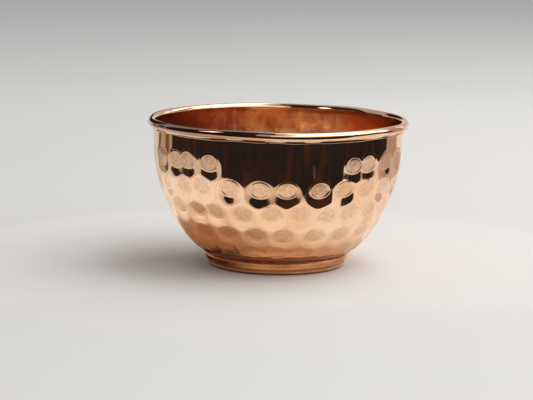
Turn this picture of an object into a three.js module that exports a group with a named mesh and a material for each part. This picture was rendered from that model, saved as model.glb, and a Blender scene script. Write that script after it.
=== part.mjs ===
// Hammered copper bowl on a low foot ring.
// Millimetres, +Z up. The origin is the middle of the circle that the foot stands on.
// Four pieces, all turned about Z: the bowl's sheet, the wire rolled into its rim, the foot ring,
// and the braze that joins the foot ring to the underside of the bowl.
import * as THREE from "three";

// Driving dimensions.
const OVERALL_HEIGHT = 68;
const RIM_RADIUS = 60;          // outside of the rolled bead
const WALL_RADIUS = 57.2;       // outside of the wall where it stands upright, below the bead
const SHEET = 0.9;              // thickness of the copper sheet
const SHOULDER_HEIGHT = 55.4;   // the wall is upright above this height
const CURVE_DEPTH = 57.5;       // height over which the wall's curve would close to a point
const CURVE_ROUNDNESS = 1.7;    // exponents of the wall's superellipse
const CURVE_FULLNESS = 2.8;
const FOOT_HEIGHT = 6;
const FOOT_BASE_RADIUS = 31.3;  // outside of the foot ring where it stands
const FOOT_TOP_RADIUS = 33.2;   // outside of the foot ring at its flared lip
const FOOT_LIP_DROP = 0.9;      // the lip lies this far below the top of the foot ring
const FOOT_WALL = 1.6;          // width of the face that the foot stands on
const FOOT_FLARE = 1.6;         // exponent of the foot ring's hollow flare
const BRAZE_LAYER = 0.2;        // thickness of the braze between foot and bowl
const BRAZE_FILLET = 1.2;       // leg of the braze fillet inside the foot
const FIT_GAP = 0.05;           // gap between pieces that touch
const WIRE_GAP = 0.1;           // gap around the wire inside the curl
const LIP_GAP = 0.25;           // gap between the sheet's free edge and the wall
const LIP_DROP = 1.1;           // length of the free edge below the bead
const RIM_BLEND = 3;            // height over which the wall runs straight up to the bead
const CORNER_RISE = 0.5;        // the wall starts this share of the sheet above the underside

// Fineness of the turned surfaces.
const TURN_STEPS = 72;
const WALL_STEPS = 11;
const WALL_CROWDING = 1.5;      // above 1, the wall's points crowd towards the base
const SLOPE_PROBE = 0.01;       // half the height over which the wall's slope is measured
const CURL_STEP = Math.PI / 6;
const WIRE_SIDES = 8;
const FLARE_STEPS = 4;

// Sizes worked out from the driving dimensions.
const BEAD_TUBE = (RIM_RADIUS - WALL_RADIUS + SHEET) / 2;
const BEAD_CENTRE = { r: RIM_RADIUS - BEAD_TUBE, z: OVERALL_HEIGHT - BEAD_TUBE };
const CURL_INSIDE = BEAD_TUBE - SHEET;
const FREE_EDGE_RADIUS = WALL_RADIUS + LIP_GAP;
const FREE_EDGE_HEIGHT = BEAD_CENTRE.z - BEAD_TUBE - LIP_DROP;
const UNDERSIDE_HEIGHT = FOOT_HEIGHT + BRAZE_LAYER + 2 * FIT_GAP;
const CURVE_START_HEIGHT = UNDERSIDE_HEIGHT + CORNER_RISE * SHEET;
const FOOT_INNER_TOP = FOOT_TOP_RADIUS - FOOT_LIP_DROP / 2 - FOOT_WALL;
const FOOT_INNER_BASE = FOOT_BASE_RADIUS - FOOT_WALL;

const copper = (color, roughness) =>
  new THREE.MeshStandardMaterial({ color, roughness, metalness: 1 });

const point = (radius, height) => new THREE.Vector2(radius, height);

// Outside radius of the wall at a height: a superellipse that runs upright above the shoulder.
function wallRadius(height) {
  const drop = Math.max(SHOULDER_HEIGHT - height, 0) / CURVE_DEPTH;
  return WALL_RADIUS * Math.pow(1 - Math.pow(drop, CURVE_ROUNDNESS), 1 / CURVE_FULLNESS);
}

// The point of the wall that lies a given depth inside its outer surface at a height.
function wallPoint(height, depth) {
  const widening = wallRadius(height + SLOPE_PROBE) - wallRadius(height - SLOPE_PROBE);
  const lean = widening / (2 * SLOPE_PROBE);
  const length = Math.hypot(1, lean);
  return point(wallRadius(height) - depth / length, height + (depth * lean) / length);
}

// Points of an arc in the profile plane, from one angle to another, both ends included.
function arc(centre, radius, from, to) {
  const steps = Math.max(1, Math.round(Math.abs(to - from) / CURL_STEP));
  return Array.from({ length: steps + 1 }, (_, i) => {
    const angle = from + ((to - from) * i) / steps;
    return point(centre.r + radius * Math.cos(angle), centre.z + radius * Math.sin(angle));
  });
}

// Heights of the wall's points, closer together near the base, where the wall bends most.
function wallHeights() {
  const top = BEAD_CENTRE.z - RIM_BLEND;
  return Array.from({ length: WALL_STEPS + 1 }, (_, i) => {
    const share = Math.pow(i / WALL_STEPS, WALL_CROWDING);
    return CURVE_START_HEIGHT + (top - CURVE_START_HEIGHT) * share;
  });
}

// Turns a closed profile about Z. Its points run anticlockwise, with the radius to the right.
function turned(profile) {
  const geometry = new THREE.LatheGeometry(profile, TURN_STEPS);
  geometry.rotateX(Math.PI / 2);
  return geometry;
}

// One sheet: flat base, curved wall, and an edge curled outward and down over the rim wire.
function bowlShell() {
  const heights = wallHeights();
  const outside = heights.map((height) => wallPoint(height, 0));
  const inside = heights.map((height) => wallPoint(height, SHEET)).reverse();
  const wallSide = Math.PI;
  const tailInside = Math.acos((FREE_EDGE_RADIUS - BEAD_CENTRE.r) / CURL_INSIDE);
  const tailOutside = Math.acos((FREE_EDGE_RADIUS + SHEET - BEAD_CENTRE.r) / BEAD_TUBE);
  return turned([
    point(0, UNDERSIDE_HEIGHT),
    point(FOOT_TOP_RADIUS, UNDERSIDE_HEIGHT),
    ...outside,
    ...arc(BEAD_CENTRE, CURL_INSIDE, wallSide, -tailInside),
    point(FREE_EDGE_RADIUS, FREE_EDGE_HEIGHT),
    point(FREE_EDGE_RADIUS + SHEET, FREE_EDGE_HEIGHT),
    ...arc(BEAD_CENTRE, BEAD_TUBE, -tailOutside, wallSide),
    ...inside,
    point(FOOT_TOP_RADIUS - SHEET, UNDERSIDE_HEIGHT + SHEET),
    point(0, UNDERSIDE_HEIGHT + SHEET),
  ]);
}

// The wire that the sheet's edge is rolled round.
function rimWire() {
  const radius = CURL_INSIDE - WIRE_GAP;
  const section = Array.from({ length: WIRE_SIDES + 1 }, (_, i) => {
    const angle = (2 * Math.PI * (i % WIRE_SIDES)) / WIRE_SIDES;
    return point(BEAD_CENTRE.r + radius * Math.cos(angle), BEAD_CENTRE.z + radius * Math.sin(angle));
  });
  return turned(section);
}

// A flared band: narrow where it stands, widest at a soft lip just below its top.
function footRing() {
  const lipHeight = FOOT_HEIGHT - FOOT_LIP_DROP;
  const flare = Array.from({ length: FLARE_STEPS + 1 }, (_, i) => {
    const share = i / FLARE_STEPS;
    const spread = (FOOT_TOP_RADIUS - FOOT_BASE_RADIUS) * Math.pow(share, FOOT_FLARE);
    return point(FOOT_BASE_RADIUS + spread, lipHeight * share);
  });
  return turned([
    point(FOOT_INNER_BASE, 0),
    ...flare,
    point(FOOT_TOP_RADIUS - FOOT_LIP_DROP / 2, FOOT_HEIGHT),
    point(FOOT_INNER_TOP, FOOT_HEIGHT),
    point(FOOT_INNER_BASE, 0),
  ]);
}

// A thin layer between foot and bowl, with a fillet in the corner inside the foot.
function footBraze() {
  const bottom = FOOT_HEIGHT + FIT_GAP;
  const top = bottom + BRAZE_LAYER;
  const corner = FOOT_INNER_TOP - FIT_GAP;
  const lean = (FOOT_INNER_TOP - FOOT_INNER_BASE) / FOOT_HEIGHT;
  return turned([
    point(corner - BRAZE_FILLET, top),
    point(corner - lean * BRAZE_FILLET, bottom - BRAZE_FILLET),
    point(corner, bottom),
    point(FOOT_TOP_RADIUS - FOOT_LIP_DROP, bottom),
    point(FOOT_TOP_RADIUS - FOOT_LIP_DROP, top),
    point(corner - BRAZE_FILLET, top),
  ]);
}

function piece(name, geometry, material) {
  const mesh = new THREE.Mesh(geometry, material);
  mesh.name = name;
  return mesh;
}

const bowl = new THREE.Group();
bowl.add(piece("bowl_shell", bowlShell(), copper(0xc9794f, 0.12)));
bowl.add(piece("rim_wire", rimWire(), copper(0xb8734a, 0.4)));
bowl.add(piece("foot_ring", footRing(), copper(0xb9713f, 0.35)));
bowl.add(piece("foot_braze", footBraze(), copper(0xc39a52, 0.45)));

export default bowl;
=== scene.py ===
"""Hammered copper bowl: the fine visual model, its materials, lights and camera.

Lengths in the shape code are millimetres, as in the CAD model; meshes are made in metres.
A turn is an angle round the upright axis, 0 at the front (-Y) and growing towards +X.
"""
import math
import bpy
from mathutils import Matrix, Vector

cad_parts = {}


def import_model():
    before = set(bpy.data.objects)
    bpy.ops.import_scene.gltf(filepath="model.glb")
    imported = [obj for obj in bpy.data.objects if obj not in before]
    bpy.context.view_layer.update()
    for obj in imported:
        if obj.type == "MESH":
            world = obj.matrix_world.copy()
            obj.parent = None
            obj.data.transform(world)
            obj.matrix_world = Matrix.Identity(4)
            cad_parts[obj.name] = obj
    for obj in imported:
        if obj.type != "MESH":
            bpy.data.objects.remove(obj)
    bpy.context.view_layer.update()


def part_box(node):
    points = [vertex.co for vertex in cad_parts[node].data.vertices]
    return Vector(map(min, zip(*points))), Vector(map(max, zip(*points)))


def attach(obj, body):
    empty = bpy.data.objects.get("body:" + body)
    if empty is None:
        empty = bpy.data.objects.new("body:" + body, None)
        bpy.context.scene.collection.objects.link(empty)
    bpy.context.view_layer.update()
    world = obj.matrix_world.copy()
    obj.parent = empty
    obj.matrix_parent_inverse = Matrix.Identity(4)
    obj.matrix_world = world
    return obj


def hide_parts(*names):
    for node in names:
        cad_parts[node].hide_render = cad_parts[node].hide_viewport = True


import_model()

from types import SimpleNamespace

import bpy
import numpy as np
from mathutils import Quaternion, Vector

MM = 0.001
RNG = np.random.default_rng(7)

# ---- Sizes, from the frame where it has them -------------------------------------------------
SHELL_LOW, SHELL_HIGH = (np.array(corner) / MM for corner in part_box("bowl_shell"))
FOOT_HIGH = np.array(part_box("foot_ring")[1]) / MM
WIRE_LOW, WIRE_HIGH = (np.array(corner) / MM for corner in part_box("rim_wire"))

RIM_RADIUS = SHELL_HIGH[0]
OVERALL_HEIGHT = SHELL_HIGH[2]
UNDERSIDE_HEIGHT = SHELL_LOW[2]
FOOT_TOP_RADIUS = FOOT_HIGH[0]
FOOT_HEIGHT = FOOT_HIGH[2]
WIRE_RADIUS = (WIRE_HIGH[2] - WIRE_LOW[2]) / 2

# The same values as in the CAD model.
SHEET = 0.9
WALL_RADIUS = 57.2
SHOULDER_HEIGHT = 55.4
CURVE_DEPTH = 57.5
CURVE_ROUNDNESS = 1.7
CURVE_FULLNESS = 2.8
LIP_GAP = 0.25
LIP_DROP = 1.1
BEAD_TUBE = (RIM_RADIUS - WALL_RADIUS + SHEET) / 2
BEAD_R = RIM_RADIUS - BEAD_TUBE
BEAD_Z = OVERALL_HEIGHT - BEAD_TUBE
CURL_INSIDE = BEAD_TUBE - SHEET
FREE_EDGE_R = WALL_RADIUS + LIP_GAP
FREE_EDGE_Z = BEAD_Z - BEAD_TUBE - LIP_DROP

FOOT_WALL = 1.6
FOOT_BASE_RADIUS = 31.3
FOOT_FLARE = 1.6
FOOT_LIP_DROP = 0.9
FOOT_LIP_INSET = 0.45         # the lip's rounded top lies this far inside its widest place
FOOT_BASE_ROUND = 0.8
BRAZE_LAYER = 0.2
BRAZE_FILLET = 1.2
FIT_GAP = 0.05

# Fineness of the meshes.
SLOPE_PROBE = 0.01            # step up and down that measures the wall's lean
SHELL_COLUMNS = 480
OUTER_STEPS = 104
INNER_STEPS = 50
TOOL_MARKS = 190              # upright marks round the top of the foot
FOOT_COLUMNS = 6 * TOOL_MARKS
WIRE_COLUMNS = 180
BRAZE_COLUMNS = 240
SAMPLES_ACROSS = 4            # hammer marks are averaged over this many places a mesh cell, each way

# ---- Hammer marks ----------------------------------------------------------------------------
# The even rows: height, marks in the row, turn of the first in degrees, slope and reach of the dip.
MARK_ROWS = (
    (41.3, 26, 5, 0.195, 6.9),
    (30.8, 26, -2.2, 0.21, 6.8),
    (20.6, 22, 4.9, 0.18, 6.4),
    (12.6, 23, -0.2, 0.16, 5.7),
)
# The top row was struck unevenly along the front: turns in degrees, then even ones behind.
TOP_ROW_HEIGHT = 52.6
TOP_ROW_FRONT = (-66, -53.5, -45, -33.5, -18, -3.5, 9.5, 22.5, 35.5, 46, 58, 71)
TOP_ROW_BACK = (84, 281, 16)
TOP_ROW_SLOPE = 0.15
TOP_ROW_REACH = 6.9
LIGHT_STRIKES = (-20, 30)     # turns between which the top row is barely struck
LIGHT_STRIKE = 0.15
FAINT_SHOW = 0.35             # power that brings out the look of a light strike
MARK_DROP = 2.0               # the dip's middle lies this far below the punch's middle
PUNCH_RADIUS = 4.35           # half the width of the oval flat that the punch's face leaves
PUNCH_SQUAT = 0.84            # height of the flat over its width
PUNCH_DEPTH = 0.06            # extra depth of the flat at its middle
PUNCH_EDGE = 0.5
RIDGE_SOFTNESS = 0.045
RIDGE_WEAR_AND_HIGHLIGHT = 0.07             # the last depth below a ridge, where polish wears it and a painted highlight lightens it
INSIDE_SHARE = 0.7            # share of a mark that shows as a swelling inside the bowl
INSIDE_SOFTNESS = 0.2
SWELLING_EDGE = 1.5
FAR_FROM_MARKS = 20.0
SHELL_VALUES = ("mark_distance", "strike", "ridge", "inside", "swelling")   # what materials read

# ---- Groove turned round the wall just above the foot ---------------------------------------
GROOVE_TOP = 9.4
GROOVE_DEPTH = 0.45
GROOVE_EDGE = 0.7

# ---- Unevenness of handwork, and small shapes where surfaces meet ----------------------------
WALL_DRIFT = 0.045
WANDER_LEVELS = 4             # the wall's wander changes from one to the next of these, up the wall
RIM_DRIFT = 0.10
EDGE_DRIFT = 0.12
TOOTH_DEPTH = 0.13
TOOTH_LENGTH = 2.2
BRAZE_DRIFT = 0.14
NICK_TURN = math.radians(-4.4)
NICK_WIDTH = math.radians(0.7)
NICK_DEPTH = 0.35
BEAD_APPROACH = 3             # the wall's rows of points stop this far below the bead's middle
FLOOR_APPROACH = 1.3          # and, inside, this far above the outside's lowest row
EDGE_ROUND = 0.2
EDGE_CHAMFER = 0.12
FLOOR_ROUND = 6
FLOOR_TURN_IN = -0.7          # angle at which the inside wall goes over into the floor's round
LIP_JOIN = 0.03               # angle between the bead and the free edge's outer face


def smooth(value):
    """A soft step from 0 to 1."""
    value = np.clip(value, 0, 1)
    return value * value * (3 - 2 * value)


def wall_radius(height):
    """Outside radius of the wall at a height: a superellipse, upright above the shoulder."""
    drop = np.clip(SHOULDER_HEIGHT - height, 0, None) / CURVE_DEPTH
    return WALL_RADIUS * (1 - drop ** CURVE_ROUNDNESS) ** (1 / CURVE_FULLNESS)


WALL_SAMPLES = np.linspace(UNDERSIDE_HEIGHT, OVERALL_HEIGHT, 4000)
WALL_TRAVEL = np.concatenate(
    ([0], np.cumsum(np.hypot(np.diff(WALL_SAMPLES), np.diff(wall_radius(WALL_SAMPLES))))))


def surface_travel(heights):
    """Distance travelled up the wall's surface to each height."""
    return np.interp(heights, WALL_SAMPLES, WALL_TRAVEL)


def even_heights(low, high, steps):
    """Heights along the wall that are evenly spaced along its surface."""
    travels = np.linspace(surface_travel(low), surface_travel(high), steps + 1)
    return np.interp(travels, WALL_TRAVEL, WALL_SAMPLES)


def wall_line(heights, depth):
    """Points (radius, height) of the wall at a depth inside its outer surface."""
    lean = (wall_radius(heights + SLOPE_PROBE) - wall_radius(heights - SLOPE_PROBE)) / (2 * SLOPE_PROBE)
    length = np.hypot(1, lean)
    return np.stack([wall_radius(heights) - depth / length, heights + depth * lean / length], axis=1)


def arc(centre_r, centre_z, radius, start, end, steps):
    """Points (radius, height) along part of a circle, between two angles."""
    angle = np.linspace(start, end, steps + 1)
    return np.stack([centre_r + radius * np.cos(angle), centre_z + radius * np.sin(angle)], axis=1)


def around(columns):
    """Turns of evenly spaced mesh columns."""
    return np.linspace(-math.pi, math.pi, columns, endpoint=False)


def drift(turns, size, slowest, fastest):
    """A slow, closed wander round the bowl: mostly within the given size, with larger peaks."""
    total = np.zeros_like(turns)
    waves = range(slowest, fastest + 1)
    for wave in waves:
        total += RNG.normal() * np.sin(wave * turns + RNG.uniform(0, 2 * math.pi))
    return size * total / math.sqrt(len(waves))


def mark(turn, height, slope, reach, strike):
    """One blow: turn, travel up the wall, reach, slope of its dip, two tilts of its flat, strength."""
    return (
        math.radians(turn + RNG.normal(0, 0.7)),
        surface_travel(height + RNG.normal(0, 0.35)),
        reach * RNG.uniform(0.96, 1.04),
        slope * strike * RNG.uniform(0.88, 1.12),
        RNG.normal(0, 0.022),
        RNG.normal(0, 0.018),
        strike,
    )


def hammer_marks():
    """All the blows: the uneven top row, then the even rows."""
    marks = []
    for turn in (*TOP_ROW_FRONT, *np.linspace(*TOP_ROW_BACK)):
        faint = LIGHT_STRIKES[0] < turn < LIGHT_STRIKES[1]
        strike = LIGHT_STRIKE if faint else 1
        marks.append(mark(turn, TOP_ROW_HEIGHT, TOP_ROW_SLOPE, TOP_ROW_REACH, strike))
    for height, count, first, slope, reach in MARK_ROWS:
        for i in range(count):
            marks.append(mark(first + 360 * i / count, height, slope, reach, 1))
    return marks


def dent(along, up, reach, slope, tilt_along, tilt_up, strike):
    """Depth of one blow at places on the wall, and their distance from the punch's middle.

    An oval flat, as the punch's face leaves it, lies in a wider dip whose middle is lower down.
    """
    off = np.hypot(along, up / PUNCH_SQUAT)
    dip = slope * (reach - np.hypot(along, up + MARK_DROP))
    lean = slope * MARK_DROP / (PUNCH_RADIUS * PUNCH_SQUAT)
    bulge = (along ** 2 + up ** 2) / (2 * WALL_RADIUS)
    middle = slope * (reach - PUNCH_RADIUS * (1 + PUNCH_SQUAT) / 2) + PUNCH_DEPTH * strike
    face = middle - (lean + tilt_up * strike) * up + tilt_along * strike * along - bulge * strike
    cover = smooth((PUNCH_RADIUS - off) / PUNCH_EDGE + 0.5)
    return np.clip(dip * (1 - cover) + face * cover, 0, None), off


def hammered(heights, turns, marks, softness):
    """How far the blows sink the wall, with what the materials need to know of them.

    That is the distance to the middle of the nearest blow, its strength, and the ridges.
    """
    travel = surface_travel(heights)
    radius = wall_radius(heights)
    deepest = np.zeros((len(heights), len(turns)))
    second = np.zeros_like(deepest)
    distance = np.full_like(deepest, FAR_FROM_MARKS)
    strength = np.zeros_like(deepest)
    for turn, middle, *blow in marks:
        reach = blow[0] + MARK_DROP
        rows = np.nonzero(np.abs(travel - middle) < reach)[0]
        if not len(rows):
            continue
        away = (turns - turn + math.pi) % (2 * math.pi) - math.pi
        columns = np.nonzero(np.abs(away) * radius[rows].min() < reach)[0]
        along = away[columns][None, :] * radius[rows][:, None]
        up = (travel[rows] - middle)[:, None] + 0 * along
        sunk, off = dent(along, up, *blow)
        spot = np.ix_(rows, columns)
        nearest = off < distance[spot]
        distance[spot] = np.where(nearest, off, distance[spot])
        strength[spot] = np.where(nearest, blow[-1] ** FAINT_SHOW, strength[spot])
        second[spot] = np.maximum(second[spot], np.minimum(deepest[spot], sunk))
        deepest[spot] = np.maximum(deepest[spot], sunk)
    gap = deepest - second
    sink = deepest + softness * np.clip(1 - gap / softness, 0, 1) ** 2 / 4 * (deepest > 0)
    ridge = np.clip(1 - gap / RIDGE_WEAR_AND_HIGHLIGHT, 0, 1) * (second > 0)
    return sink, distance, strength, ridge


def hammered_evenly(heights, turns, marks, softness):
    """The same, each value averaged over its mesh cell, so that no ridge comes out as a staircase."""
    shares = (np.arange(SAMPLES_ACROSS) + 0.5) / SAMPLES_ACROSS - 0.5
    row_step = np.gradient(heights)
    column_step = turns[1] - turns[0]
    tries = [hammered(heights + up * row_step, turns + along * column_step, marks, softness)
             for up in shares for along in shares]
    return [sum(kind) / len(tries) for kind in zip(*tries)]


def turned_grid(line, turns):
    """Points (ring, column, xyz) of a profile line turned about Z."""
    radius = line[:, 0][:, None]
    height = line[:, 1][:, None] + 0 * turns[None, :]
    return np.stack([radius * np.sin(turns), -radius * np.cos(turns), height], axis=2)


def line_normals(line):
    """Unit normals of a profile line, to the right of its direction."""
    step = np.gradient(line, axis=0)
    step /= np.hypot(step[:, 0], step[:, 1])[:, None]
    return np.stack([step[:, 1], -step[:, 0]], axis=1)


def shift(grid, turns, outward, upward):
    """Moves a grid's points outwards from the axis and up, by amounts for each point."""
    grid[..., 0] += outward * np.sin(turns)
    grid[..., 1] -= outward * np.cos(turns)
    grid[..., 2] += upward


def ring_mesh(name, grid, poles=(), values=None):
    """A closed turned mesh: a tube round the axis, or a skin that two poles close."""
    rings, columns, _ = grid.shape
    points = [tuple(point) for point in grid.reshape(-1, 3) * MM]
    looped = not poles
    faces = []
    for i in range(rings if looped else rings - 1):
        low, high = i * columns, (i + 1) % rings * columns
        for j in range(columns):
            k = (j + 1) % columns
            faces.append((low + j, low + k, high + k, high + j))
    for height, ring, forward in zip(poles, (0, rings - 1), (False, True)):
        pole = len(points)
        points.append((0, 0, height * MM))
        for j in range(columns):
            pair = (ring * columns + j, ring * columns + (j + 1) % columns)
            faces.append((*pair, pole) if forward else (*pair[::-1], pole))
    mesh = bpy.data.meshes.new(name)
    mesh.from_pydata(points, [], faces)
    for key, value in (values or {}).items():
        layer = mesh.attributes.new(key, "FLOAT", "POINT")
        ends = [value[0].mean(), value[-1].mean()] if poles else []
        layer.data.foreach_set("value", np.concatenate([value.reshape(-1), ends]).astype(np.float32))
    mesh.shade_smooth()
    piece = bpy.data.objects.new(name, mesh)
    bpy.context.collection.objects.link(piece)
    return piece


# ---- Pieces ----------------------------------------------------------------------------------
def free_edge():
    """The rolled sheet's free edge, hanging below the bead, from its inner to its outer face."""
    outer = FREE_EDGE_R + SHEET
    outer_corner = arc(outer - EDGE_ROUND, FREE_EDGE_Z + EDGE_ROUND, EDGE_ROUND, -math.pi / 2, 0, 3)
    face = [(outer, FREE_EDGE_Z + EDGE_ROUND + 0.1), (outer, BEAD_Z - BEAD_TUBE - 0.05)]
    inner_corner = [(FREE_EDGE_R, FREE_EDGE_Z + EDGE_CHAMFER),
                    (FREE_EDGE_R + EDGE_CHAMFER, FREE_EDGE_Z)]
    return np.concatenate([inner_corner, outer_corner, face])


def rim_shift(grid, turns, rim_out, rim_up):
    """The slow wander of the rim, which fades out down the wall."""
    share = smooth((grid[..., 2] - TOP_ROW_HEIGHT) / (BEAD_Z - TOP_ROW_HEIGHT))
    shift(grid, turns, rim_out * share, rim_up * share)


def shell_stretches(outer_heights, inner_heights):
    """The sheet's profile in stretches, from the underside over the rim to the floor."""
    tail_inside = math.acos((FREE_EDGE_R - BEAD_R) / CURL_INSIDE)
    tail_outside = math.acos((FREE_EDGE_R + SHEET - BEAD_R) / BEAD_TUBE)
    floor_height = UNDERSIDE_HEIGHT + SHEET
    underside_radii = np.linspace(6, FOOT_TOP_RADIUS - SHEET, 5)
    floor_radii = np.linspace(20, 5, 3)
    return {
        "underside": np.array([(r, UNDERSIDE_HEIGHT) for r in underside_radii]),
        "outside": wall_line(outer_heights, 0),
        "cavity": arc(BEAD_R, BEAD_Z, CURL_INSIDE, math.pi, -tail_inside, 7),
        "edge": free_edge(),
        "bead": arc(BEAD_R, BEAD_Z, BEAD_TUBE, LIP_JOIN - tail_outside, math.pi, 21),
        "inside": wall_line(inner_heights, SHEET),
        "floor_edge": arc(FOOT_TOP_RADIUS - FLOOR_ROUND, floor_height + FLOOR_ROUND, FLOOR_ROUND,
                          FLOOR_TURN_IN, -math.pi / 2, 4),
        "floor": np.array([(r, floor_height) for r in floor_radii]),
    }


def wall_drift(heights, wander):
    """How far the wall wanders outwards at each height, blended between the wander's levels."""
    level = np.interp(heights, (UNDERSIDE_HEIGHT, OVERALL_HEIGHT), (0, len(wander) - 1))
    lower = np.minimum(level.astype(int), len(wander) - 2)
    part = smooth(level - lower)[:, None]
    uneven = wander[lower] * (1 - part) + wander[lower + 1] * part
    return uneven * smooth((heights - FOOT_HEIGHT) / FOOT_HEIGHT)[:, None]


def bowl_shell(rim_wander):
    """The one sheet of the body: underside, hammered wall, rolled bead, inside wall and floor."""
    turns = around(SHELL_COLUMNS)
    marks = hammer_marks()
    wall_low = UNDERSIDE_HEIGHT + SHEET / 2
    wall_top = BEAD_Z - BEAD_APPROACH
    outer_heights = even_heights(wall_low, wall_top, OUTER_STEPS)
    inner_heights = even_heights(wall_low + FLOOR_APPROACH, wall_top, INNER_STEPS)[::-1]
    stretches = shell_stretches(outer_heights, inner_heights)
    starts = np.cumsum([0] + [len(line) for line in stretches.values()])
    rows = {key: slice(starts[i], starts[i + 1]) for i, key in enumerate(stretches)}
    grid = turned_grid(np.concatenate(list(stretches.values())), turns)
    values = {key: np.zeros(grid.shape[:2]) for key in SHELL_VALUES}
    values["mark_distance"] += FAR_FROM_MARKS
    values["inside"][rows["inside"].start:] = 1

    wander = np.stack([drift(turns, WALL_DRIFT, 3, 14) for _ in range(WANDER_LEVELS)])
    for key, heights, softness, share in (
        ("outside", outer_heights, RIDGE_SOFTNESS, -1),
        ("inside", inner_heights, INSIDE_SOFTNESS, -INSIDE_SHARE),
    ):
        sink, distance, strike, ridge = hammered_evenly(heights, turns, marks, softness)
        move = share * sink + wall_drift(heights, wander)
        if key == "outside":
            turned = smooth((GROOVE_TOP - heights) / GROOVE_EDGE)[:, None]
            move = move * (1 - turned) - GROOVE_DEPTH * turned
            values["mark_distance"][rows[key]] = distance
            values["strike"][rows[key]] = strike
            values["ridge"][rows[key]] = ridge
        else:
            # The swellings' share, which a painted highlight follows in the material.
            near = smooth((PUNCH_RADIUS - distance) / SWELLING_EDGE + 0.5)
            values["swelling"][rows[key]] = strike * near
        away = line_normals(wall_line(heights, 0))
        away *= np.sign(away[:, :1])      # outwards, whichever way the line runs
        shift(grid[rows[key]], turns, away[:, :1] * move, away[:, 1:] * move)

    nick = np.exp(-((turns - NICK_TURN) / NICK_WIDTH) ** 2) * NICK_DEPTH
    shift(grid[rows["edge"]], turns, 0, nick + drift(turns, EDGE_DRIFT, 5, 30))
    rim_shift(grid, turns, *rim_wander(turns))
    return ring_mesh("hammered_bowl", grid, (UNDERSIDE_HEIGHT, UNDERSIDE_HEIGHT + SHEET), values)


def rim_wire(rim_wander):
    """The round wire inside the bead."""
    turns = around(WIRE_COLUMNS)
    grid = turned_grid(arc(BEAD_R, BEAD_Z, WIRE_RADIUS, 0, 2 * math.pi, 12)[:-1], turns)
    rim_shift(grid, turns, *rim_wander(turns))
    return ring_mesh("rolled_in_wire", grid)


def foot_ring():
    """The flared foot, with the fine upright marks of the tool that dressed its top edge."""
    turns = around(FOOT_COLUMNS)
    lip_z = FOOT_HEIGHT - FOOT_LIP_DROP
    share = np.linspace(0.2, 1, 16)
    widening = (FOOT_TOP_RADIUS - FOOT_BASE_RADIUS) * share ** FOOT_FLARE
    flare = np.stack([FOOT_BASE_RADIUS + widening, lip_z * share], axis=1)
    lip = np.array([(FOOT_TOP_RADIUS - 0.05, lip_z + 0.35), (FOOT_TOP_RADIUS - 0.2, lip_z + 0.65),
                    (FOOT_TOP_RADIUS - FOOT_LIP_INSET, FOOT_HEIGHT)])
    top_inner = FOOT_TOP_RADIUS - FOOT_LIP_INSET - FOOT_WALL
    base_inner = FOOT_BASE_RADIUS - FOOT_WALL
    inner_radii = np.linspace(top_inner, base_inner + 0.05, 8)
    inner = np.stack([inner_radii, np.linspace(FOOT_HEIGHT, 0.25, 8)], axis=1)
    base_corner = arc(FOOT_BASE_RADIUS - FOOT_BASE_ROUND, FOOT_BASE_ROUND, FOOT_BASE_ROUND,
                      -math.pi / 2, -0.1, 4)
    bottom = np.concatenate([[(base_inner + 0.2, 0)], base_corner])
    grid = turned_grid(np.concatenate([bottom, flare, lip, inner]), turns)

    # Stretches of deep marks pass into stretches of faint ones.
    strength = np.interp(np.sin(5 * turns + 1.6) + np.sin(13 * turns), (-2, 2), (0.25, 1))
    teeth = TOOTH_DEPTH * np.abs(np.sin(TOOL_MARKS / 2 * turns)) * strength
    outer = slice(len(bottom), len(bottom) + len(flare) + len(lip))
    reach = smooth((grid[outer, :, 2] - (lip_z - TOOTH_LENGTH)) / 0.8)
    shift(grid[outer], turns, -teeth * reach, 0)
    values = {"tooth": np.zeros(grid.shape[:2])}
    values["tooth"][outer] = teeth * reach / TOOTH_DEPTH
    return ring_mesh("flared_foot", grid, values=values)


def foot_braze():
    """The brazed joint: a thin layer on top of the foot and a lumpy fillet inside it."""
    turns = around(BRAZE_COLUMNS)
    bottom = FOOT_HEIGHT + FIT_GAP
    top = bottom + BRAZE_LAYER
    corner = FOOT_TOP_RADIUS - FOOT_LIP_INSET - FOOT_WALL - FIT_GAP
    fillet = np.array([
        (corner - BRAZE_FILLET, top),
        (corner - 0.75 * BRAZE_FILLET, top - 0.12 * BRAZE_FILLET),
        (corner - 0.5 * BRAZE_FILLET, top - 0.32 * BRAZE_FILLET),
        (corner - 0.32 * BRAZE_FILLET, top - 0.6 * BRAZE_FILLET),
        (corner - 0.25 * BRAZE_FILLET, bottom - BRAZE_FILLET),
    ])
    seam = np.array([(corner, bottom - 0.2), (corner, bottom), (FOOT_TOP_RADIUS - 0.9, bottom),
                     (FOOT_TOP_RADIUS - 0.8, bottom + BRAZE_LAYER / 2), (FOOT_TOP_RADIUS - 0.9, top)])
    grid = turned_grid(np.concatenate([fillet, seam]), turns)
    inner = slice(1, len(fillet))
    shift(grid[inner], turns, -np.abs(drift(turns, BRAZE_DRIFT, 6, 40)), 0)
    return ring_mesh("braze_seam", grid)


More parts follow.
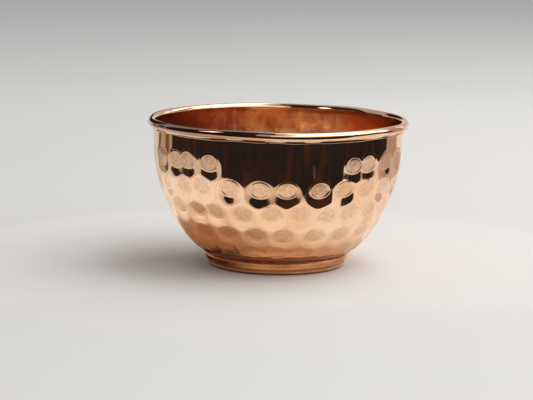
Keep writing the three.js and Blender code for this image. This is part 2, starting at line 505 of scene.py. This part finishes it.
# ---- Materials: lengths in millimetres, colours linear ---------------------------------------
class Recipe:
    """Lays out one material's nodes; most methods give back an output socket."""

    def __init__(self, name):
        self.material = bpy.data.materials.new(name)
        self.material.use_nodes = True
        self.tree = self.material.node_tree

    def feed(self, socket, value):
        """Links a socket to a value, or sets the socket where the value is plain."""
        if isinstance(value, bpy.types.NodeSocket):
            self.tree.links.new(value, socket)
        else:
            socket.default_value = value

    def sum(self, operation, first, second=0.0):
        """One step of arithmetic."""
        node = self.tree.nodes.new("ShaderNodeMath")
        node.operation = operation
        self.feed(node.inputs[0], first)
        self.feed(node.inputs[1], second)
        return node.outputs[0]

    def attribute(self, name):
        """A value that the mesh holds at each point."""
        node = self.tree.nodes.new("ShaderNodeAttribute")
        node.attribute_name = name
        return node.outputs["Fac"]

    def place(self, stretch=(1, 1, 1)):
        """The point's place in millimetres, squeezed along X, Y and Z."""
        node = self.tree.nodes.new("ShaderNodeVectorMath")
        node.operation = "MULTIPLY"
        here = self.tree.nodes.new("ShaderNodeTexCoord")
        self.tree.links.new(here.outputs["Object"], node.inputs[0])
        node.inputs[1].default_value = [factor / MM for factor in stretch]
        return node.outputs[0]

    def axis(self, letter):
        """The point's place along X, Y or Z in millimetres."""
        node = self.tree.nodes.new("ShaderNodeSeparateXYZ")
        self.tree.links.new(self.place(), node.inputs[0])
        return node.outputs[letter]

    def distance(self, middle):
        """The point's distance from a place, both in millimetres."""
        node = self.tree.nodes.new("ShaderNodeVectorMath")
        node.operation = "DISTANCE"
        self.tree.links.new(self.place(), node.inputs[0])
        node.inputs[1].default_value = middle
        return node.outputs["Value"]

    def radius(self):
        """The point's distance from the upright axis in millimetres."""
        node = self.tree.nodes.new("ShaderNodeVectorMath")
        node.operation = "LENGTH"
        self.tree.links.new(self.place((1, 1, 0)), node.inputs[0])
        return node.outputs["Value"]

    def rings(self, size, detail=2.0):
        """Rings round the upright axis, as a lathe leaves them, of about a size in millimetres."""
        node = self.tree.nodes.new("ShaderNodeTexNoise")
        node.noise_dimensions = "1D"
        self.tree.links.new(self.radius(), node.inputs["W"])
        node.inputs["Scale"].default_value = 1 / size
        node.inputs["Detail"].default_value = detail
        return node.outputs["Fac"]

    def noise(self, size, detail=2.0, stretch=(1, 1, 1)):
        """Mottling of about a size in millimetres, around 0.5."""
        node = self.tree.nodes.new("ShaderNodeTexNoise")
        self.tree.links.new(self.place(stretch), node.inputs["Vector"])
        node.inputs["Scale"].default_value = 1 / size
        node.inputs["Detail"].default_value = detail
        return node.outputs["Fac"]

    def span(self, value, start, end, low=0.0, high=1.0):
        """A soft climb from low to high as the value goes from start to end."""
        node = self.tree.nodes.new("ShaderNodeMapRange")
        node.interpolation_type = "SMOOTHSTEP"
        self.feed(node.inputs["Value"], value)
        node.inputs["From Min"].default_value = start
        node.inputs["From Max"].default_value = end
        node.inputs["To Min"].default_value = low
        node.inputs["To Max"].default_value = high
        return node.outputs["Result"]

    def hump(self, value, middle, width):
        """A smooth hump of height 1 where the value is near the middle."""
        away = self.sum("DIVIDE", self.sum("SUBTRACT", value, middle), width)
        return self.sum("EXPONENT", self.sum("MULTIPLY", self.sum("MULTIPLY", away, away), -1))

    def colour(self, share, first, second):
        """One colour that turns into another by a share."""
        node = self.tree.nodes.new("ShaderNodeMix")
        node.data_type = "RGBA"
        self.feed(node.inputs[0], share)
        for socket, tint in ((node.inputs[6], first), (node.inputs[7], second)):
            self.feed(socket, tint if isinstance(tint, bpy.types.NodeSocket) else (*tint, 1))
        return node.outputs[2]

    def total(self, *parts):
        """All the parts added up."""
        result = parts[0]
        for part in parts[1:]:
            result = self.sum("ADD", result, part)
        return result

    def times(self, first, second):
        return self.sum("MULTIPLY", first, second)

    def metal(self, colour, roughness, relief):
        """Finishes a metal; relief is the fine surface height in millimetres."""
        shader = self.tree.nodes["Principled BSDF"]
        shader.inputs["Metallic"].default_value = 1
        bump = self.tree.nodes.new("ShaderNodeBump")
        bump.inputs["Distance"].default_value = MM
        self.feed(bump.inputs["Height"], relief)
        self.feed(shader.inputs["Base Color"], colour)
        self.feed(shader.inputs["Roughness"], roughness)
        self.tree.links.new(bump.outputs[0], shader.inputs["Normal"])
        return self.material

    def glow(self, colour):
        """Finishes a sheet that shines with its own colour."""
        self.tree.nodes.remove(self.tree.nodes["Principled BSDF"])
        light = self.tree.nodes.new("ShaderNodeEmission")
        self.feed(light.inputs["Color"], colour)
        self.tree.links.new(light.outputs[0], self.tree.nodes["Material Output"].inputs["Surface"])
        return self.material


# Copper as it comes off the polishing mop, as use and heat change it, and with painted shade and
# painted highlights.
PALE_COPPER = (0.97, 0.67, 0.46)
WARM_COPPER = (0.95, 0.585, 0.36)
# Painted shade: darker copper low on the wall.
LOW_SHADE_PAINT = (0.72, 0.37, 0.195)
STRUCK = (0.70, 0.43, 0.27)
# Grime and painted shade in the creases round the dips.
GRIME_AND_CREASE_SHADE = (0.58, 0.30, 0.17)
# Wear and a painted highlight on the ridges.
WORN_RIDGE_HIGHLIGHT = (0.98, 0.76, 0.60)
# Painted shade on the front and left of the rim.
RIM_SHADE_PAINT = (0.42, 0.24, 0.17)
# Oxide and painted shade in the groove above the foot.
GROOVE_OXIDE_AND_SHADE = (0.60, 0.22, 0.11)
FIRE_SCALE = (0.62, 0.30, 0.20)
INSIDE_RED = (0.80, 0.36, 0.17)
# Painted highlights, in a random gold mottle inside.
GOLD_HIGHLIGHT_MOTTLE = (0.97, 0.62, 0.33)
# Painted shade at the inside's sides.
SIDE_SHADE_PAINT = (0.50, 0.14, 0.07)
# Painted highlight on the swellings inside.
SWELLING_HIGHLIGHT = (0.96, 0.72, 0.55)


def body_parts(mix):
    """Where each kind of surface is on the body, each from 0 to 1, and the body's mottlings."""
    off = mix.attribute("mark_distance")
    strike = mix.attribute("strike")
    inside = mix.attribute("inside")
    outside = mix.sum("SUBTRACT", 1, inside)
    height = mix.axis("Z")
    on_flat = mix.span(mix.radius(), FOOT_TOP_RADIUS - 2, FOOT_TOP_RADIUS - 5)
    on_rim = mix.span(height, BEAD_Z - 2.2, BEAD_Z - 1.4)
    # Where painted shade darkens the front and left of the rim.
    front_left = mix.times(mix.span(mix.axis("X"), 12, -40), mix.span(mix.axis("Y"), 5, -25))
    return SimpleNamespace(
        inside=inside,
        on_flat=on_flat,
        underneath=mix.times(on_flat, outside),
        rim_shaded=mix.times(on_rim, front_left),
        in_groove=mix.times(mix.span(height, GROOVE_TOP, GROOVE_TOP - GROOVE_EDGE), outside),
        low_down=mix.span(height, 20, 10),
        ridge=mix.attribute("ridge"),
        face=mix.times(mix.span(off, PUNCH_RADIUS + 0.15, PUNCH_RADIUS - 0.35), strike),
        ring=mix.times(mix.hump(off, PUNCH_RADIUS + 0.1, 0.38), strike),
        crease=mix.times(mix.hump(off, PUNCH_RADIUS + 0.45, 0.3), strike),
        cloud=mix.noise(16, 3),
        blotch=mix.noise(1.6, 2),
        grain=mix.noise(0.55, 1),
        upright=mix.noise(1.1, 2, (1, 1, 0.04)),
        level=mix.noise(0.7, 2, (0.03, 0.03, 1)),
        rings=mix.rings(1.1),
    )


def outside_tint(mix, part):
    """Clean copper, then painted shade low down, punch faces, grime and painted shade in the creases,
    wear and painted highlights on the ridges, painted shade on the front of the rim, oxide and painted
    shade in the groove, and fire scale.
    """
    warm = mix.colour(mix.span(part.cloud, 0.38, 0.66), PALE_COPPER, WARM_COPPER)
    # Painted shade: the wall darkens towards the bottom, where it mirrors the shadowed cloth under the
    # bowl.
    low_shaded = mix.colour(mix.times(part.low_down, 0.8), warm, LOW_SHADE_PAINT)
    dulled = mix.times(part.face, mix.span(part.blotch, 0.3, 0.7, 0.3, 0.8))
    faced = mix.colour(dulled, low_shaded, STRUCK)
    # Grime and painted shade: a thin dark outline in the crease round each dip.
    crease_grime_and_shade = mix.times(part.crease, mix.span(part.blotch, 0.4, 0.6, 0.1, 0.5))
    creased = mix.colour(crease_grime_and_shade, faced, GRIME_AND_CREASE_SHADE)
    # Wear and a painted highlight: pale thin lines along the ridges.
    worn_and_highlit = mix.colour(mix.times(part.ridge, 0.8), creased, WORN_RIDGE_HIGHLIGHT)
    # Painted shade: the front and left of the rim darkened, where it mirrors the dark room.
    rim_shaded = mix.colour(mix.times(part.rim_shaded, 0.9), worn_and_highlit, RIM_SHADE_PAINT)
    # Oxide and painted shade: dark red in the groove above the foot.
    grooved = mix.colour(part.in_groove, rim_shaded, GROOVE_OXIDE_AND_SHADE)
    scale = mix.times(part.underneath, mix.span(part.cloud, 0.35, 0.65, 0.3, 0.9))
    return mix.colour(scale, grooved, FIRE_SCALE)


def inside_tint(mix, part):
    """Redder copper, with a painted gold highlight mottle on the wall, painted shade at the sides and a
    painted highlight on the swellings.
    """
    on_wall = mix.sum("SUBTRACT", 1, mix.times(part.on_flat, 0.7))
    # Painted highlights: a random gold mottle on the inside wall, less on the floor.
    mottle = mix.times(mix.span(mix.noise(4, 4), 0.4, 0.62), on_wall)
    gold_highlighted = mix.colour(mottle, INSIDE_RED, GOLD_HIGHLIGHT_MOTTLE)
    # Painted shade: the inside darkens towards its sides along X.
    at_sides = mix.span(mix.sum("ABSOLUTE", mix.axis("X")), 26, 48)
    side_shaded = mix.colour(at_sides, gold_highlighted, SIDE_SHADE_PAINT)
    # Painted highlight: paler copper on the swellings inside.
    return mix.colour(mix.times(mix.attribute("swelling"), 0.8), side_shaded, SWELLING_HIGHLIGHT)


def polished_copper():
    """The body: mirror bright between grainy punch faces, redder and duller inside."""
    mix = Recipe("polished_copper")
    part = body_parts(mix)
    tint = mix.colour(mix.times(part.inside, 0.8), outside_tint(mix, part), inside_tint(mix, part))
    roughness = mix.total(
        mix.span(part.cloud, 0.3, 0.7, 0.035, 0.075),
        mix.times(part.face, mix.span(part.blotch, 0.3, 0.7, 0.05, 0.13)),
        mix.times(part.ridge, 0.2),
        mix.span(part.upright, 0.52, 0.72, 0, 0.07),
        mix.span(part.level, 0.6, 0.75, 0, 0.05),
        mix.times(part.inside, 0.11),
        mix.times(part.in_groove, 0.15),
        mix.times(part.on_flat, mix.span(part.rings, 0.35, 0.7, 0, 0.05)),
    )
    relief = mix.total(
        mix.times(mix.times(part.face, part.grain), 0.012),
        mix.times(mix.times(part.face, part.blotch), 0.006),
        mix.times(part.ring, 0.048),
        mix.times(part.upright, 0.0025),
        mix.times(part.level, 0.002),
        mix.times(mix.times(part.on_flat, part.rings), 0.005),
    )
    return mix.metal(tint, roughness, relief)


def satin_copper():
    """The foot: turned and dressed, not polished, with painted shade in its tool marks and a painted
    contact shadow where it meets the table.
    """
    mix = Recipe("satin_copper")
    level = mix.noise(0.45, 3, (0.02, 0.02, 1))
    upright = mix.noise(0.8, 2, (1, 1, 0.08))
    cloud = mix.noise(9, 3)
    # The share of painted contact shadow, up from the bottom.
    contact_shadow_share = mix.span(mix.axis("Z"), 1.3, 0.4)
    clean = mix.colour(mix.span(cloud, 0.35, 0.7), (0.96, 0.60, 0.36), (0.86, 0.48, 0.26))
    lined = mix.colour(mix.span(upright, 0.5, 0.7, 0, 0.3), clean, (0.62, 0.29, 0.14))
    # Painted shade in the grooves of the tool marks.
    tooth_shaded = mix.colour(mix.times(mix.attribute("tooth"), 0.9), lined, (0.34, 0.13, 0.06))
    # Painted contact shadow: near black at the bottom, where the foot meets the table.
    tint = mix.colour(mix.times(contact_shadow_share, 0.9), tooth_shaded, (0.13, 0.045, 0.03))
    roughness = mix.total(mix.span(level, 0.35, 0.7, 0.14, 0.24), mix.span(cloud, 0.3, 0.7, 0, 0.08))
    relief = mix.total(mix.times(level, 0.008), mix.times(upright, 0.01))
    return mix.metal(tint, roughness, relief)


def wire_copper():
    """Soft drawn wire, dull, with faint draw lines."""
    mix = Recipe("wire_copper")
    cloud = mix.noise(4, 2)
    lines = mix.noise(0.3, 2, (0.2, 0.2, 1))
    tint = mix.colour(mix.span(cloud, 0.35, 0.65), (0.80, 0.44, 0.26), (0.60, 0.30, 0.17))
    roughness = mix.span(cloud, 0.3, 0.7, 0.35, 0.5)
    return mix.metal(tint, roughness, mix.times(lines, 0.01))


def braze():
    """Yellow brazing alloy, lumpy, with stains of flux."""
    mix = Recipe("braze")
    cloud = mix.noise(2.5, 3)
    pits = mix.noise(0.6, 2)
    tint = mix.colour(mix.span(cloud, 0.4, 0.65), (0.86, 0.64, 0.30), (0.48, 0.30, 0.15))
    roughness = mix.span(cloud, 0.3, 0.7, 0.3, 0.6)
    return mix.metal(tint, roughness, mix.times(pits, 0.06))


# ---- Stage: lengths in metres ----------------------------------------------------------------
CAMERA_DISTANCE = 1.0
CAMERA_RISE = math.radians(10.59)
CAMERA_ROLL = math.radians(0.91)
CAMERA_AIM = Vector((-0.00485, 0, 0.0294))
CAMERA_LENS = 145.5
FLOOR_HALF = 8
CLOTH_HOLE, CLOTH_RIM, CLOTH_HEIGHT = 0.033, 0.16, 0.0004
CLOTH_COLUMNS = 48
# Where the dark room stands on the floor: it leaves the patch of lit cloth that the bowl mirrors.
DARK_LEFT_LINE = ((-0.25, 0.06), (-0.25, -0.05), (-0.19, -0.13), (-0.08, -0.103), (-0.028, -0.11))
DARK_RIGHT_LINE = (
    (-0.028, -0.11), (0, -0.113), (0.03, -0.102), (0.05, -0.088), (0.07, -0.076),
    (0.095, -0.07), (0.16, -0.085), (0.235, -0.055), (0.25, 0.08),
)
STRIPE_LINE = ((-0.25, 0.06), (-0.24, 0.08), (-0.225, 0.105), (-0.2, 0.14), (-0.185, 0.155))
SHADOW_MIDDLE = (-19, 5, 0)    # millimetres, as the materials measure places
UNDER_SHADE = (0.06, 0.022, 0.014)
# What the plain cards shine with.
GLOWS = {
    "brown": (0.13, 0.085, 0.06),
    "beige": (0.42, 0.35, 0.28),
    "rose": (0.60, 0.49, 0.42),
    "shaded_rose": (0.42, 0.34, 0.30),
    "pale": (0.70, 0.70, 0.69),
    "window": (1.6, 1.45, 1.3),
    "warm": (0.90, 0.66, 0.50),
    "lamp": (4.5, 3.9, 3.2),
    "cream": (1.25, 1.12, 0.95),
}
# Curved cards: name, distance from the bowl's axis, first and last turn in degrees, lowest and
# highest place, glow.
ROUND_CARDS = (
    ("dark_behind_stripes", 0.4, 235, 290, 0.08, 0.16, "dark"),
    ("dark_back", 0.8, 182, 225, 0.16, 0.5, "dark"),
    ("rose_back", 0.8, 145, 182, 0.16, 0.5, "rose"),
    ("window_far", 0.8, 132, 144, 0.19, 0.42, "window"),
    ("window_middle", 0.8, 96, 110, 0.19, 0.42, "window"),
    ("lamp_left", 0.14, 294, 308, 0.135, 0.2, "lamp"),
    ("lamp_back", 0.8, 171, 178, 0.1, 0.17, "lamp"),
    ("warm_front", 0.9, -14, 50, 0.08, 0.3, "warm"),
    ("cream_front", 0.9, -6, 65, 0.3, 0.6, "cream"),
    ("pale_back", 0.8, 120, 240, 0, 0.16, "pale"),
)


def camera():
    """The camera at the photograph's angle, with the photograph's slight roll."""
    data = bpy.data.cameras.new("camera")
    data.lens = CAMERA_LENS
    data.sensor_width = 36
    data.clip_end = 50
    holder = bpy.data.objects.new("camera", data)
    bpy.context.collection.objects.link(holder)
    away = CAMERA_DISTANCE * math.cos(CAMERA_RISE)
    holder.location = (0, -away, CAMERA_DISTANCE * math.sin(CAMERA_RISE))
    look = (CAMERA_AIM - holder.location).to_track_quat("-Z", "Y")
    holder.rotation_mode = "QUATERNION"
    holder.rotation_quaternion = look @ Quaternion((0, 0, 1), CAMERA_ROLL)
    bpy.context.scene.camera = holder


def glowing(name, colour):
    """A material that shines with one even colour."""
    return Recipe(name).glow((*colour, 1))


def card(name, points, faces, material):
    """A staged sheet that polished metal mirrors, and nothing else sees."""
    mesh = bpy.data.meshes.new(name)
    mesh.from_pydata(points, [], faces)
    mesh.materials.append(material)
    sheet = bpy.data.objects.new(name, mesh)
    bpy.context.collection.objects.link(sheet)
    sheet.visible_camera = False
    sheet.visible_diffuse = False
    sheet.visible_shadow = False
    sheet.visible_transmission = False


def screen(name, footprint, low, high, material):
    """An upright card that stands on a broken line of floor points."""
    points = [(x, y, z) for x, y in footprint for z in (low, high)]
    faces = [(2 * i, 2 * i + 2, 2 * i + 3, 2 * i + 1) for i in range(len(footprint) - 1)]
    card(name, points, faces, material)


def round_screen(name, radius, turn_from, turn_to, low, high, material):
    """An upright curved card round the bowl, between two turns in degrees."""
    turns = np.radians(np.linspace(turn_from, turn_to, 17))
    footprint = [(radius * math.sin(turn), -radius * math.cos(turn)) for turn in turns]
    screen(name, footprint, low, high, material)


def flat_card(name, corner, opposite, height, material):
    """A level card between two opposite corners."""
    (x0, y0), (x1, y1) = corner, opposite
    points = [(x0, y0, height), (x1, y0, height), (x1, y1, height), (x0, y1, height)]
    card(name, points, [(0, 1, 2, 3)], material)


def dark_room():
    """The unlit room that the front of the bowl mirrors, with a few dim upright shapes in it."""
    mix = Recipe("dark_room")
    shapes = mix.span(mix.noise(14, 3, (1, 1, 0.3)), 0.5, 0.7)
    lines = mix.span(mix.noise(2.5, 2, (1, 1, 0.05)), 0.55, 0.75, 0, 0.6)
    dim = mix.colour(shapes, (0.018, 0.016, 0.018), (0.052, 0.024, 0.018))
    return mix.glow(mix.colour(lines, dim, (0.052, 0.025, 0.017)))


def cloth_glow():
    """Painted reflection of the cloth near the bowl, seen only in the metal: painted shadow, dim and
    warm close by, and painted light, bright further out.
    """
    mix = Recipe("cloth_glow")
    away = mix.distance(SHADOW_MIDDLE)
    fold_shadow_noise = mix.noise(30, 1)
    contact = mix.colour(mix.span(away, 12, 32), UNDER_SHADE, (0.36, 0.19, 0.105))
    shade = mix.colour(mix.span(away, 36, 54), contact, (0.46, 0.31, 0.21))
    half = mix.colour(mix.span(away, 50, 62), shade, (0.74, 0.62, 0.50))
    lit = mix.colour(mix.span(away, 58, 76), half, (0.94, 0.90, 0.84))
    # Painted shadows of folds in the cloth, at random.
    fold_shaded = mix.colour(mix.span(fold_shadow_noise, 0.45, 0.7, 0, 0.35), lit, (0.66, 0.58, 0.52))
    front = mix.colour(mix.span(mix.axis("Y"), -86, -110, 0, 0.85), fold_shaded, (0.44, 0.36, 0.30))
    from_middle = mix.distance((0, 0, 0))
    beside_foot = mix.colour(mix.span(mix.axis("X"), -28, -6), UNDER_SHADE, (0.72, 0.50, 0.33))
    under_foot = mix.colour(mix.span(from_middle, 34.6, 33), beside_foot, UNDER_SHADE)
    under = mix.colour(mix.span(from_middle, 39.5, 36.5), front, under_foot)
    turns = around(CLOTH_COLUMNS)
    points = [(r * math.sin(turn), -r * math.cos(turn), CLOTH_HEIGHT)
              for r in (CLOTH_HOLE, CLOTH_RIM) for turn in turns]
    count = len(turns)
    faces = [(i, (i + 1) % count, count + (i + 1) % count, count + i) for i in range(count)]
    card("cloth_glow", points, faces, mix.glow(under))


def area_light(name, place, size, power, colour):
    """A soft lamp that faces the bowl."""
    data = bpy.data.lights.new(name, "AREA")
    data.shape = "RECTANGLE"
    data.size, data.size_y = size
    data.energy = power
    data.color = colour
    lamp = bpy.data.objects.new(name, data)
    bpy.context.collection.objects.link(lamp)
    lamp.location = place
    lamp.rotation_mode = "QUATERNION"
    lamp.rotation_quaternion = (-Vector(place)).to_track_quat("-Z", "Y")


def floor():
    """The plain pale floor."""
    mesh = bpy.data.meshes.new("floor")
    half = FLOOR_HALF
    corners = [(-half, -half, 0), (half, -half, 0), (half, half, 0), (-half, half, 0)]
    mesh.from_pydata(corners, [], [(0, 1, 2, 3)])
    ground = bpy.data.objects.new("floor", mesh)
    bpy.context.collection.objects.link(ground)
    material = bpy.data.materials.new("floor")
    material.use_nodes = True
    shader = material.node_tree.nodes["Principled BSDF"]
    shader.inputs["Base Color"].default_value = (0.70, 0.695, 0.68, 1)
    shader.inputs["Roughness"].default_value = 0.8
    mesh.materials.append(material)


def world():
    """An even, dim, neutral surround."""
    sky = bpy.data.worlds.new("world")
    bpy.context.scene.world = sky
    sky.use_nodes = True
    background = sky.node_tree.nodes["Background"]
    background.inputs["Color"].default_value = (0.80, 0.80, 0.81, 1)
    background.inputs["Strength"].default_value = 0.55


def stage():
    """Floor, surround, lamps, and the cards that the polished metal mirrors."""
    floor()
    world()
    cloth_glow()
    glows = {name: glowing(f"{name}_card", colour) for name, colour in GLOWS.items()}
    glows["dark"] = dark_room()
    screen("dark_left", DARK_LEFT_LINE, 0, 0.9, glows["dark"])
    screen("dark_right", DARK_RIGHT_LINE, 0, 0.08, glows["dark"])
    for i, ends in enumerate(zip(STRIPE_LINE, STRIPE_LINE[1:])):
        screen(f"stripe_{i}", ends, 0, 0.08, glows["brown" if i % 2 else "beige"])
    screen("rose_right", (DARK_RIGHT_LINE[-1], (0.2, 0.16)), 0, 0.4, glows["shaded_rose"])
    # A painted shadow band on the cloth to the right, seen only in the metal.
    flat_card("cloth_shade_right", (0.13, 0.03), (0.42, 0.30), 0.0005, glows["rose"])
    flat_card("dark_above_left", (-1.3, -0.6), (0, 0.25), 0.9, glows["dark"])
    for name, *place, glow in ROUND_CARDS:
        round_screen(name, *place, glows[glow])
    area_light("key", (0.8, 0.2, 1.1), (1.6, 1.6), 17, (1, 0.98, 0.95))
    area_light("fill", (0.9, -0.9, 0.9), (1.4, 1.4), 7, (1, 0.98, 0.96))


# ---- The bowl --------------------------------------------------------------------------------
def rim_wanderer():
    """The rim's slow wander as a function of turn, the same for the sheet and its wire."""
    fine = around(720)
    outward = drift(fine, RIM_DRIFT, 2, 9)
    upward = drift(fine, RIM_DRIFT, 2, 9)
    return lambda turns: [np.interp(turns, fine, way, period=2 * math.pi) for way in (outward, upward)]


def build():
    """Makes the four pieces, gives each its material, attaches it to the root body and hides its CAD
    part.
    """
    rim_wander = rim_wanderer()
    plan = (
        (bowl_shell(rim_wander), "bowl_shell", "polished_copper", polished_copper()),
        (rim_wire(rim_wander), "rim_wire", "wire_copper", wire_copper()),
        (foot_ring(), "foot_ring", "satin_copper", satin_copper()),
        (foot_braze(), "foot_braze", "braze", braze()),
    )
    for piece, node, slot, material in plan:
        piece.data.materials.append(material)
        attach(piece, "root")
        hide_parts(node)


camera()
build()
stage()
bpy.context.scene.view_settings.view_transform = "Standard"
